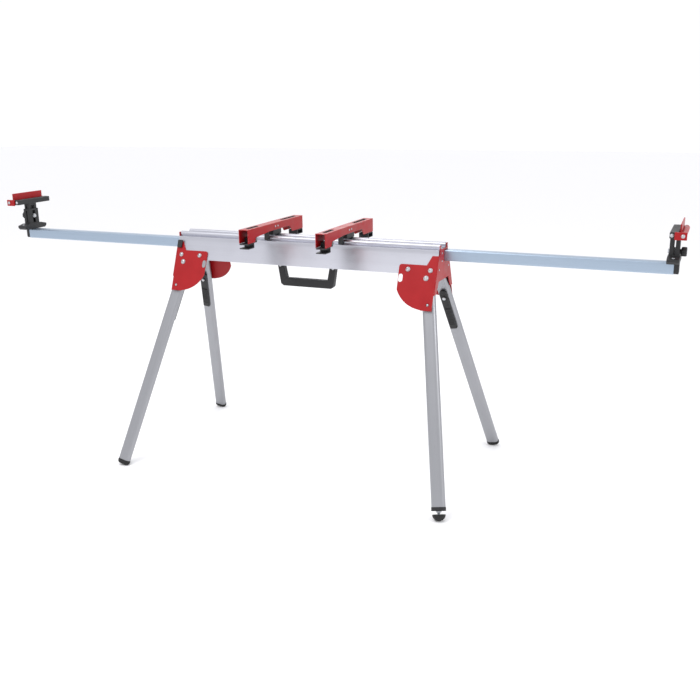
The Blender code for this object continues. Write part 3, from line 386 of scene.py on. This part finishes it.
def add_screw_head(bm, place, radius, tall):
    """A small pan head with a crossed recess, drawn as a four-lobed hole."""
    profile = [(0.0, 0.0), (radius, 0.0), (radius, 0.35 * tall), (0.85 * radius, 0.8 * tall)]
    profile += [(0.5 * radius, tall)]

    def cross(turn, height):
        return 0.55 + 0.45 * abs(cos(2 * turn)) ** 3

    profile += [(0.46 * radius, tall, cross), (0.36 * radius, 0.35 * tall, cross), (0.0, 0.3 * tall)]
    add_turned(bm, place, profile, 24)


def facing(origin, direction):
    """A place whose Z axis points in a direction."""
    turn = Vector((0.0, 0.0, 1.0)).rotation_difference(Vector(direction)).to_matrix()
    return Matrix.Translation(origin) @ turn.to_4x4()


bright_steel = zinc_plated("bright_zinc_steel", "C4C5C8", 0.30)
# Along a leg's pivot, inward from its plate's outer face: the leg's middle and its inner face.
LEG_MIDDLE = 0.0235
LEG_INNER = 0.0370
# Each corner's place on its plate and on its leg: Y inward, Z up the plate or up the leg.
plate_frames = {}
leg_frames = {}
hands = {}
for side, way in SIDES.items():
    for face, out in FACES.items():
        corner = f"{face}_{side}"
        fold = joints[f"leg_fold_{corner}"]
        lever = joints[f"release_lever_{corner}"]
        hand = -way * out
        inward = Vector(fold["axis"]) * hand
        start = Vector(fold["pos_m"]) - LEG_MIDDLE * inward
        across = Vector((-out, 0.0, 0.0))
        rest = Vector(lever["axis"])
        for frames, x_axis in ((plate_frames, across), (leg_frames, rest)):
            axes = Matrix((x_axis, inward, x_axis.cross(inward))).transposed().to_4x4()
            frames[corner] = Matrix.Translation(start) @ axes
        hands[corner] = hand

# Along the plate and up it, from the leg's pivot.
BOLTS = ((0.0122, 0.0276), (-0.0687, 0.0276))
RIVET = (0.0170, -0.0910)
# Profiles of radius, height and shape.
RIVET_HEAD = ((0.0, 0.0), (0.0036, 0.0), (0.0034, 0.0008), (0.0024, 0.0016), (0.0, 0.0019))
LEG_NUT = (
    (0.0, 0.0), (0.0098, 0.0), (0.0098, 0.0010), (0.0082, 0.0010), (0.0090, 0.0018, hexagon),
    (0.0090, 0.0056, hexagon), (0.0074, 0.0062), (0.0068, 0.0084), (0.0052, 0.0084),
    (0.0049, 0.0078), (0.0, 0.0078),
)
LEG_SHANK = ((0.0, 0.0032), (0.0048, 0.0032), (0.0048, LEG_INNER), (0.0, LEG_INNER))
for corner, plate in plate_frames.items():
    hand = hands[corner]
    fixings = bmesh.new()
    outward = Matrix.Rotation(radians(90.0), 4, "X")
    for out, up in BOLTS:
        place = plate @ Matrix.Translation((hand * out, 0.0, up)) @ outward
        add_button_head(fixings, place, radius=0.0072, tall=0.0042)
    place = plate @ Matrix.Translation((hand * RIVET[0], 0.0, RIVET[1])) @ outward
    add_turned(fixings, place, RIVET_HEAD, 20)
    # The leg's shoulder bolt, with its lock nut on the leg's inner face.
    add_button_head(fixings, plate @ outward, radius=0.0080, tall=0.0040)
    back = Matrix.Rotation(radians(-90.0), 4, "X")
    add_turned(fixings, plate @ Matrix.Translation((0.0, LEG_INNER, 0.0)) @ back, LEG_NUT, 36)
    add_turned(fixings, plate @ back, LEG_SHANK, 20)
    pivot = add_piece(fixings, f"leg_bolts_{corner}", "frame", bright_steel)
    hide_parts(f"leg_pivot_{corner}")


# ---- Black mouldings ---------------------------------------------------------------------------
# Rail guides, support columns, heads, caps and pads: glass-filled nylon, spark-textured in the
# mould, so matt with a soft grey sheen, polished grey along the edges that hands and boards rub.
def moulded(name, colour, roughness, grit=1250.0):
    """Nylon or rubber with a spark-textured skin, rubbed pale along its edges."""
    material, shader = new_material(name, colour, roughness)
    where = add_node(material, "TexCoord").outputs["Object"]
    # Spark texture grains of about 0.3 mm, drawn at 0.8 mm on nylon and 1.25 mm on rubber.
    grain = noise(material, where, grit, 2.0)
    relief = add_node(material, "Bump", {"Height": grain}, Strength=0.30, Distance=0.0002)
    join(material, relief.outputs["Normal"], shader, "Normal")
    flow = noise(material, where, 30.0, 3.0)
    base = srgb(colour)
    tone = tones(material, flow, scaled(base, 0.75), scaled(base, 1.35))
    worn = worn_edge(material, where, 70.0, 0.20)
    rubbed = showing(material, worn, tone, scaled(base, 3.0))
    join(material, rubbed, shader, "Base Color")
    dulled = levels(material, flow, 0.3, 0.7, roughness - 0.06, roughness + 0.10)
    join(material, dulled, shader, "Roughness")
    return material


black_nylon = moulded("black_moulded_nylon", "19191B", 0.50)
for side in SIDES:
    rounded_copy(f"rail_guide_{side}", 0.0005, black_nylon)
    rounded_copy(f"rail_lock_{side}", 0.0008, black_nylon)
    rounded_copy(f"rail_cap_{side}", 0.0020, black_nylon, 3)
    rounded_copy(f"support_column_{side}", 0.0007, black_nylon)
    rounded_copy(f"support_head_{side}", 0.0010, black_nylon)
    rounded_copy(f"bracket_saddle_{side}", 0.0006, black_nylon)
    rounded_copy(f"bracket_pad_{side}", 0.0010, black_nylon)
    rounded_copy(f"clamp_lever_{side}", 0.0010, black_nylon)

# ---- The carrying handle -----------------------------------------------------------------------
# A moulded nylon U under the beam with a ribbed grip, fixed by a screw through each arm.
rounded_copy("handle", 0.0050, black_nylon, 4)
GRIP_HALF = 0.0720
GRIP_MIDDLE = 0.6860
GRIP_STEP = 0.0080
GRIP_RIB = (0.0028, 0.0232, 0.0312)
GRIP_ROUND = 0.0055
GRIP_RIM = 0.0005
grip = bmesh.new()
for step in range(int(2 * GRIP_HALF / GRIP_STEP) + 1):
    x = -GRIP_HALF + GRIP_STEP * step
    rib = bmesh.ops.create_cube(grip, size=1.0)["verts"]
    bmesh.ops.scale(grip, vec=GRIP_RIB, verts=rib)
    bmesh.ops.translate(grip, vec=(x, 0.0, GRIP_MIDDLE), verts=rib)
long_edges = [e for e in grip.edges if abs((e.verts[0].co - e.verts[1].co).normalized().x) > 0.9]
round_edges(grip, long_edges, GRIP_ROUND, 4)
rims = [e for e in grip.edges if abs((e.verts[0].co - e.verts[1].co).normalized().x) < 0.1]
rims = [e for e in rims if e.calc_face_angle() > radians(60.0)]
round_edges(grip, rims, GRIP_RIM, 2)
add_piece(grip, "handle_grip_ribs", "frame", black_nylon)
HANDLE_SCREW_X = 0.1075
HANDLE_SCREW_Y = 0.0109
HANDLE_SCREW_Z = 0.7470
handle_screws = bmesh.new()
for way in SIDES.values():
    for out in FACES.values():
        place = facing((way * HANDLE_SCREW_X, out * HANDLE_SCREW_Y, HANDLE_SCREW_Z), (0.0, out, 0.0))
        add_screw_head(handle_screws, place, radius=0.0048, tall=0.0022)
add_piece(handle_screws, "handle_screws", "frame", bright_steel)

# ---- The legs ----------------------------------------------------------------------------------
# Flat oval aluminium tubes, sawn off square, with their die lines running down them. Each carries
# a nylon spacer against its plate.
black_rubber = moulded("black_moulded_rubber", "1A1A1A", 0.78, 800.0)
# The spacer's ring, of radius and distance inward from the plate's outer face.
SPACER = (
    (0.0052, 0.0034), (0.0125, 0.0034), (0.0130, 0.0040), (0.0130, 0.0092), (0.0125, 0.0097),
    (0.0052, 0.0097), (0.0052, 0.0034),
)
for corner, leg in leg_frames.items():
    turn = leg.to_3x3().inverted()
    lengthwise = Matrix.Rotation(radians(90.0), 3, "Y") @ turn
    # The legs' colour is darker than the beam's. Part of that is a matt anodised finish, and part is painted
    # shade: it stands in for the shadow and dark reflection that the plates cast down the legs.
    leg_metal_with_painted_shade = lined_metal(f"anodised_aluminium_leg_{corner}", "A3A4A8", 0.42, lengthwise)
    rounded_copy(f"leg_{corner}", 0.0004, leg_metal_with_painted_shade)
    spacer = bmesh.new()
    add_turned(spacer, plate_frames[corner] @ Matrix.Rotation(radians(-90.0), 4, "X"), SPACER)
    add_piece(spacer, f"leg_spacer_{corner}", f"leg_{corner}", black_nylon)

# ---- The release levers and lock pins ----------------------------------------------------------
# A moulded lever lies on each leg's inner face: a plain hinge end round the pin, a step half way
# down and a thicker ribbed grip below it. The spring pin is turned steel with a domed head.
LEVER_TOP = 0.0600
LEVER_LENGTH = 0.1660
LEVER_HALF = 0.0140
LEVER_FACE = 0.0378
LEVER_THICK = 0.0090
LEVER_CORNER = 0.0050
LEVER_ROUND = 0.0015
LOCK_RADIUS = 0.0925
PAD_START = 0.0780
PAD_EXTRA = 0.0030
PAD_SUNK = 0.0020
PAD_HALF = 0.0120
PAD_MARGIN = 0.0030
PAD_ROUND = 0.0012
RIB_HALF = 0.0098
RIB_TALL = 0.0022
RIB_STEP = 0.0070
RIB_START = 0.0100
RIB_SUNK = 0.0010
RIB_PROUD = 0.0012
RIB_ROUND = 0.0008
# Profiles of the collar round the pin's hole and of the spring pin.
COLLAR = (
    (0.0, 0.0), (0.0105, 0.0), (0.0105, 0.0012), (0.0098, 0.0016), (0.0075, 0.0016), (0.0075, 0.0)
)
SPRING_PIN = (
    (0.0, 0.0036), (0.0036, 0.0036), (0.0044, 0.0044), (0.0044, 0.0478), (0.0062, 0.0478),
    (0.0064, 0.0486), (0.0062, 0.0500), (0.0050, 0.0512), (0.0030, 0.0519), (0.0, 0.0521),
)


def add_slab(bm, place, outline, low, high, radius):
    """A flat piece of an outline in X and Z, thick along Y, its edges rounded and marked as edges."""
    slab = bmesh.new()
    edge = slab.faces.layers.float.new("edge")
    rings = [[slab.verts.new((x, y, z)) for x, z in outline] for y in (low, high)]
    slab.faces.new(rings[0])
    slab.faces.new(list(reversed(rings[1])))
    for index in range(len(outline)):
        after = (index + 1) % len(outline)
        slab.faces.new((rings[0][after], rings[0][index], rings[1][index], rings[1][after]))
    bmesh.ops.recalc_face_normals(slab, faces=slab.faces)
    sharp = [e for e in slab.edges if e.calc_face_angle() > radians(30.0)]
    for face in round_edges(slab, sharp, radius, 3):
        face[edge] = 1.0
    slab.transform(place)
    joined = bpy.data.meshes.new("slab")
    slab.to_mesh(joined)
    slab.free()
    bm.from_mesh(joined)
    bpy.data.meshes.remove(joined)


def rounded_outline(half, top, bottom, corner):
    """A strip with a half-round top end and small round corners at its bottom."""
    points = []
    for step in range(13):
        turn = radians(15.0 * step)
        points.append((half * cos(turn), top - half + half * sin(turn)))
    for middle, start in ((-half + corner, 180.0), (half - corner, 270.0)):
        for step in range(5):
            turn = radians(start + 22.5 * step)
            points.append((middle + corner * cos(turn), bottom + corner + corner * sin(turn)))
    return points


for corner, leg in leg_frames.items():
    lever_bm = bmesh.new()
    top = -LEVER_TOP
    bottom = top - LEVER_LENGTH
    outline = rounded_outline(LEVER_HALF, top, bottom, LEVER_CORNER)
    add_slab(lever_bm, leg, outline, LEVER_FACE, LEVER_FACE + LEVER_THICK, LEVER_ROUND)
    pad_top = top - PAD_START
    pad_bottom = bottom + PAD_MARGIN
    pad = [(-PAD_HALF, pad_top), (PAD_HALF, pad_top), (PAD_HALF, pad_bottom), (-PAD_HALF, pad_bottom)]
    outer = LEVER_FACE + LEVER_THICK
    proud = outer + PAD_EXTRA
    add_slab(lever_bm, leg, pad, outer - PAD_SUNK, proud, PAD_ROUND)
    ribs = int((pad_top - bottom - 2 * RIB_START) / RIB_STEP)
    for step in range(ribs):
        z = pad_top - RIB_START - RIB_STEP * step
        low = z - RIB_TALL
        rib = [(-RIB_HALF, z), (RIB_HALF, z), (RIB_HALF, low), (-RIB_HALF, low)]
        add_slab(lever_bm, leg, rib, proud - RIB_SUNK, proud + RIB_PROUD, RIB_ROUND)
    inward = Matrix.Rotation(radians(-90.0), 4, "X")
    add_turned(lever_bm, leg @ Matrix.Translation((0.0, outer, -LOCK_RADIUS)) @ inward, COLLAR)
    lever = add_piece(
        lever_bm, f"release_lever_{corner}_finished", f"release_lever_{corner}", black_nylon,
    )
    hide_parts(f"release_lever_{corner}")
    pin_bm = bmesh.new()
    add_turned(pin_bm, leg @ Matrix.Translation((0.0, 0.0, -LOCK_RADIUS)) @ inward, SPRING_PIN, 28)
    lock = add_piece(
        pin_bm, f"lock_pin_{corner}_finished", f"lock_pin_{corner}", bright_steel
    )
    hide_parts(f"lock_pin_{corner}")

# ---- The feet ----------------------------------------------------------------------------------
# Moulded rubber caps, dull and slightly dusty, a millimetre wider than the tube all round. The
# levelling foot at the front right is a nylon plug, a threaded steel stud and a domed rubber pad.
for corner in leg_frames:
    if corner != "front_right":
        rounded_copy(f"foot_{corner}", 0.0006, black_rubber, 2, 50.0)
rounded_copy("levelling_plug", 0.0012, black_nylon, 3, 50.0)
rounded_copy("levelling_pad", 0.0010, black_rubber, 3, 50.0)
STUD_TOP = 0.7400
STUD_END = 0.7903
NUT_TOP = 0.7796
STUD_RADIUS = 0.0054
THREAD_PITCH = 0.00175
THREAD_DEEP = 0.16
THREAD_STEPS = 6
LOCK_NUT = (
    (0.0050, 0.0), (0.0082, 0.0), (0.0096, 0.0008, hexagon), (0.0096, 0.0042, hexagon),
    (0.0082, 0.0050), (0.0050, 0.0050),
)


def threaded(turn, height):
    """One start of a screw thread: the radius falls and rises once for each pitch along it."""
    along = (height / THREAD_PITCH - turn / (2 * pi)) % 1.0
    return 1.0 - THREAD_DEEP * abs(2.0 * along - 1.0)


stud_bm = bmesh.new()
steps = int((STUD_END - STUD_TOP) / THREAD_PITCH * THREAD_STEPS)
stud_place = leg_frames["front_right"] @ Matrix.Translation((0.0, LEG_MIDDLE, 0.0))
stud = [(0.0, -STUD_END)]
for step in range(steps + 1):
    stud.append((STUD_RADIUS, -STUD_END + (STUD_END - STUD_TOP) * step / steps, threaded))
stud.append((0.0, -STUD_TOP))
add_turned(stud_bm, stud_place, stud, 24)
lock_nut = [(radius, -NUT_TOP - below, *shape) for radius, below, *shape in LOCK_NUT]
add_turned(stud_bm, stud_place, lock_nut, 36)
stud_piece = add_piece(stud_bm, "levelling_stud_thread", "levelling_foot", bright_steel)
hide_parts("levelling_stud")

# ---- The extension rails -----------------------------------------------------------------------
# Roll-formed square steel tube, zinc plated: a bluish satin skin with long rolling marks and
# rubbed corners.
zinc_plate = lined_metal("blue_zinc_plated_steel", "A9B9CA", 0.38)
for side in SIDES:
    rounded_copy(f"extension_rail_{side}", 0.0005, zinc_plate)

# ---- The end plates' screws --------------------------------------------------------------------
# Pan heads that hold the end plates to the beam's screw ports, its two rails and the rail guides.
END_FACE = 0.5243
END_SCREWS = ((0.0375, 0.8500), (-0.0375, 0.8500), (0.0530, 0.7760), (-0.0530, 0.7760))
# Two more screws stand one above the other in the lane that the end's own rail leaves open.
OPEN_LANE = 0.0220
LANE_SCREWS = (0.8290, 0.8020)
for side, way in SIDES.items():
    end_screws = bmesh.new()
    spots = list(END_SCREWS) + [(-way * OPEN_LANE, z) for z in LANE_SCREWS]
    for y, z in spots:
        place = facing((way * END_FACE, y, z), (way, 0.0, 0.0))
        add_screw_head(end_screws, place, radius=0.0034, tall=0.0018)
    add_piece(end_screws, f"end_plate_screws_{side}", "frame", bright_steel)

# ---- The work supports' knobs and screws -------------------------------------------------------
# Each column is clamped by a lobed nylon knob on a bolt whose hexagon head shows on the inboard
# side. Pan heads fix the base to the rail, and a button head fixes the head bar at the front.
SUPPORT_X = 1.2675
KNOB_START = 0.0196
KNOB_END = 0.0361
KNOB_RADIUS = 0.0150
COLUMN_HALF = 0.0156
BASE_SCREW_Y = 0.0500
BASE_SCREW_Z = 0.8549
BASE_SCREW_LEAN = (0.225, 0.974)
HEAD_TALL = 0.0200
HEAD_BOLT_INSET = 0.0080


def lobed(turn, height):
    """Eight finger hollows round a knob."""
    return 1.0 - 0.11 * (0.5 + 0.5 * cos(8.0 * turn)) ** 2


for side, way in SIDES.items():
    centre = Vector(joints[f"height_knob_turn_{side}"]["pos_m"])
    place = facing(centre, (way, 0.0, 0.0))
    knob_bm = bmesh.new()
    knob = [(0.0, COLUMN_HALF), (0.0078, COLUMN_HALF), (0.0080, KNOB_START - 0.0010)]
    knob += [(0.0120, KNOB_START), (0.0140, KNOB_START + 0.0006, lobed)]
    knob += [(KNOB_RADIUS, KNOB_START + 0.0022, lobed), (KNOB_RADIUS, KNOB_END - 0.0035, lobed)]
    knob += [(0.0146, KNOB_END - 0.0016, lobed), (0.0136, KNOB_END - 0.0004, lobed)]
    knob += [(0.0124, KNOB_END), (0.0088, KNOB_END), (0.0082, KNOB_END - 0.0010)]
    knob += [(0.0, KNOB_END - 0.0012)]
    add_turned(knob_bm, place, knob, 96)
    made = add_piece(
        knob_bm, f"height_knob_{side}_finished", f"height_knob_{side}", black_nylon
    )
    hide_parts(f"height_knob_{side}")
    bolt_bm = bmesh.new()
    back = place @ Matrix.Rotation(pi, 4, "X")
    bolt = [(0.0, COLUMN_HALF - 0.0004), (0.0085, COLUMN_HALF - 0.0004), (0.0085, COLUMN_HALF + 0.0006)]
    bolt += [(0.0066, COLUMN_HALF + 0.0006), (0.0074, COLUMN_HALF + 0.0010, hexagon)]
    bolt += [(0.0074, COLUMN_HALF + 0.0038, hexagon), (0.0064, COLUMN_HALF + 0.0046)]
    bolt += [(0.0, COLUMN_HALF + 0.0046)]
    add_turned(bolt_bm, back, bolt, 36)
    shank = [(0.0, -0.0170), (0.0038, -0.0170), (0.0038, COLUMN_HALF), (0.0, COLUMN_HALF)]
    add_turned(bolt_bm, back, shank, 20)
    tip = [(0.0, KNOB_END - 0.0040), (0.0040, KNOB_END - 0.0040), (0.0040, KNOB_END - 0.0006)]
    tip += [(0.0034, KNOB_END), (0.0, KNOB_END)]
    add_turned(bolt_bm, place, tip, 20)
    add_piece(bolt_bm, f"height_bolt_{side}", f"height_knob_{side}", bright_steel)
    screws = bmesh.new()
    for out in FACES.values():
        spot = (way * SUPPORT_X, centre.y + out * BASE_SCREW_Y, BASE_SCREW_Z)
        lean, rise = BASE_SCREW_LEAN
        place = facing(spot, (0.0, out * lean, rise))
        add_screw_head(screws, place, radius=0.0042, tall=0.0020)
    add_piece(screws, f"support_base_screws_{side}", f"rail_{side}", bright_steel)
    head_low, head_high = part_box(f"support_head_{side}")
    front = bmesh.new()
    spot = (way * (SUPPORT_X - HEAD_BOLT_INSET), head_low[1], head_high[2] - HEAD_TALL / 2)
    add_button_head(front, facing(spot, (0.0, -1.0, 0.0)), radius=0.0050, tall=0.0030)
    add_piece(front, f"support_head_bolt_{side}", f"support_head_{side}", bright_steel)

# ---- The flip stops ----------------------------------------------------------------------------
# Bent and welded steel, red powder coat: a barrel on the hinge line, a thin fin and an end block,
# with a bolt through the barrel that shows at both ends.
for side, way in SIDES.items():
    rounded_copy(f"flip_stop_{side}", 0.0008, red_coat)
    hinge = Vector(joints[f"flip_stop_{side}"]["pos_m"])
    stop_low, stop_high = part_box(f"flip_stop_{side}")
    ends = bmesh.new()
    front_spot = (hinge.x, stop_low[1], hinge.z)
    rear_spot = (hinge.x, stop_high[1], hinge.z)
    add_button_head(ends, facing(front_spot, (0.0, -1.0, 0.0)), radius=0.0052, tall=0.0030)
    add_button_head(ends, facing(rear_spot, (0.0, 1.0, 0.0)), radius=0.0052, tall=0.0030)
    add_piece(ends, f"flip_stop_bolt_{side}", f"flip_stop_{side}", bright_steel)

# ---- The saw brackets --------------------------------------------------------------------------
# Folded steel channels, red powder coat, with black nylon liners that stand just proud round their
# bolt slots and pan heads through their sides into the saddle.
SLOT_LINERS = ((-0.1500, 0.0700), (0.1280, 0.1100))
BRACKET_TOP = 0.9050
SADDLE_SCREWS = ((0.0080, 0.8920), (-0.0120, 0.8920))
SADDLE_HALF = 0.0190
LINER_LIP = 0.0055
# The liner's section: half its width, and how far it stands above the bracket's top.
LINER_SECTION = (
    (0.0050, -0.0030), (0.0050, 0.0007), (0.0056, 0.0010), (0.0072, 0.0010),
    (0.0076, 0.0006), (0.0076, 0.0), (0.0054, 0.0), (0.0054, -0.0030),
)
OVAL_POINTS = 24


def oval(half_wide, half_long):
    """A slot's outline: two half circles joined by straight sides, long in Y."""
    points = []
    for step in range(OVAL_POINTS):
        turn = 2 * pi * step / OVAL_POINTS + pi / OVAL_POINTS
        shift = half_long - half_wide if sin(turn) > 0 else half_wide - half_long
        points.append((half_wide * cos(turn), shift + half_wide * sin(turn)))
    return points


for side, way in SIDES.items():
    rounded_copy(f"saw_bracket_{side}", 0.0007, red_coat)
    rounded_copy(f"clamp_jaw_{side}", 0.0008, black_nylon)
    rounded_copy(f"clamp_pin_{side}", 0.0008, bright_steel)
    bracket_low, bracket_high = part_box(f"saw_bracket_{side}")
    middle = 0.5 * (bracket_low[0] + bracket_high[0])
    liners = bmesh.new()
    for y, length in SLOT_LINERS:
        rings = []
        for half_wide, up in LINER_SECTION:
            outline = oval(half_wide, length / 2 + half_wide - LINER_LIP)
            height = BRACKET_TOP + up
            rings.append([liners.verts.new((middle + x, y + along, height)) for x, along in outline])
        for low, high in zip(rings, rings[1:] + rings[:1]):
            for step in range(OVAL_POINTS):
                after = (step + 1) % OVAL_POINTS
                liners.faces.new((low[step], low[after], high[after], high[step]))
    bmesh.ops.recalc_face_normals(liners, faces=liners.faces)
    add_piece(liners, f"slot_liners_{side}", f"saw_bracket_{side}", black_nylon)
    screws = bmesh.new()
    for y, z in SADDLE_SCREWS:
        for out in FACES.values():
            spot = (middle + out * SADDLE_HALF, y, z)
            add_screw_head(screws, facing(spot, (out, 0.0, 0.0)), radius=0.0036, tall=0.0018)
    add_piece(screws, f"saddle_screws_{side}", f"saw_bracket_{side}", bright_steel)
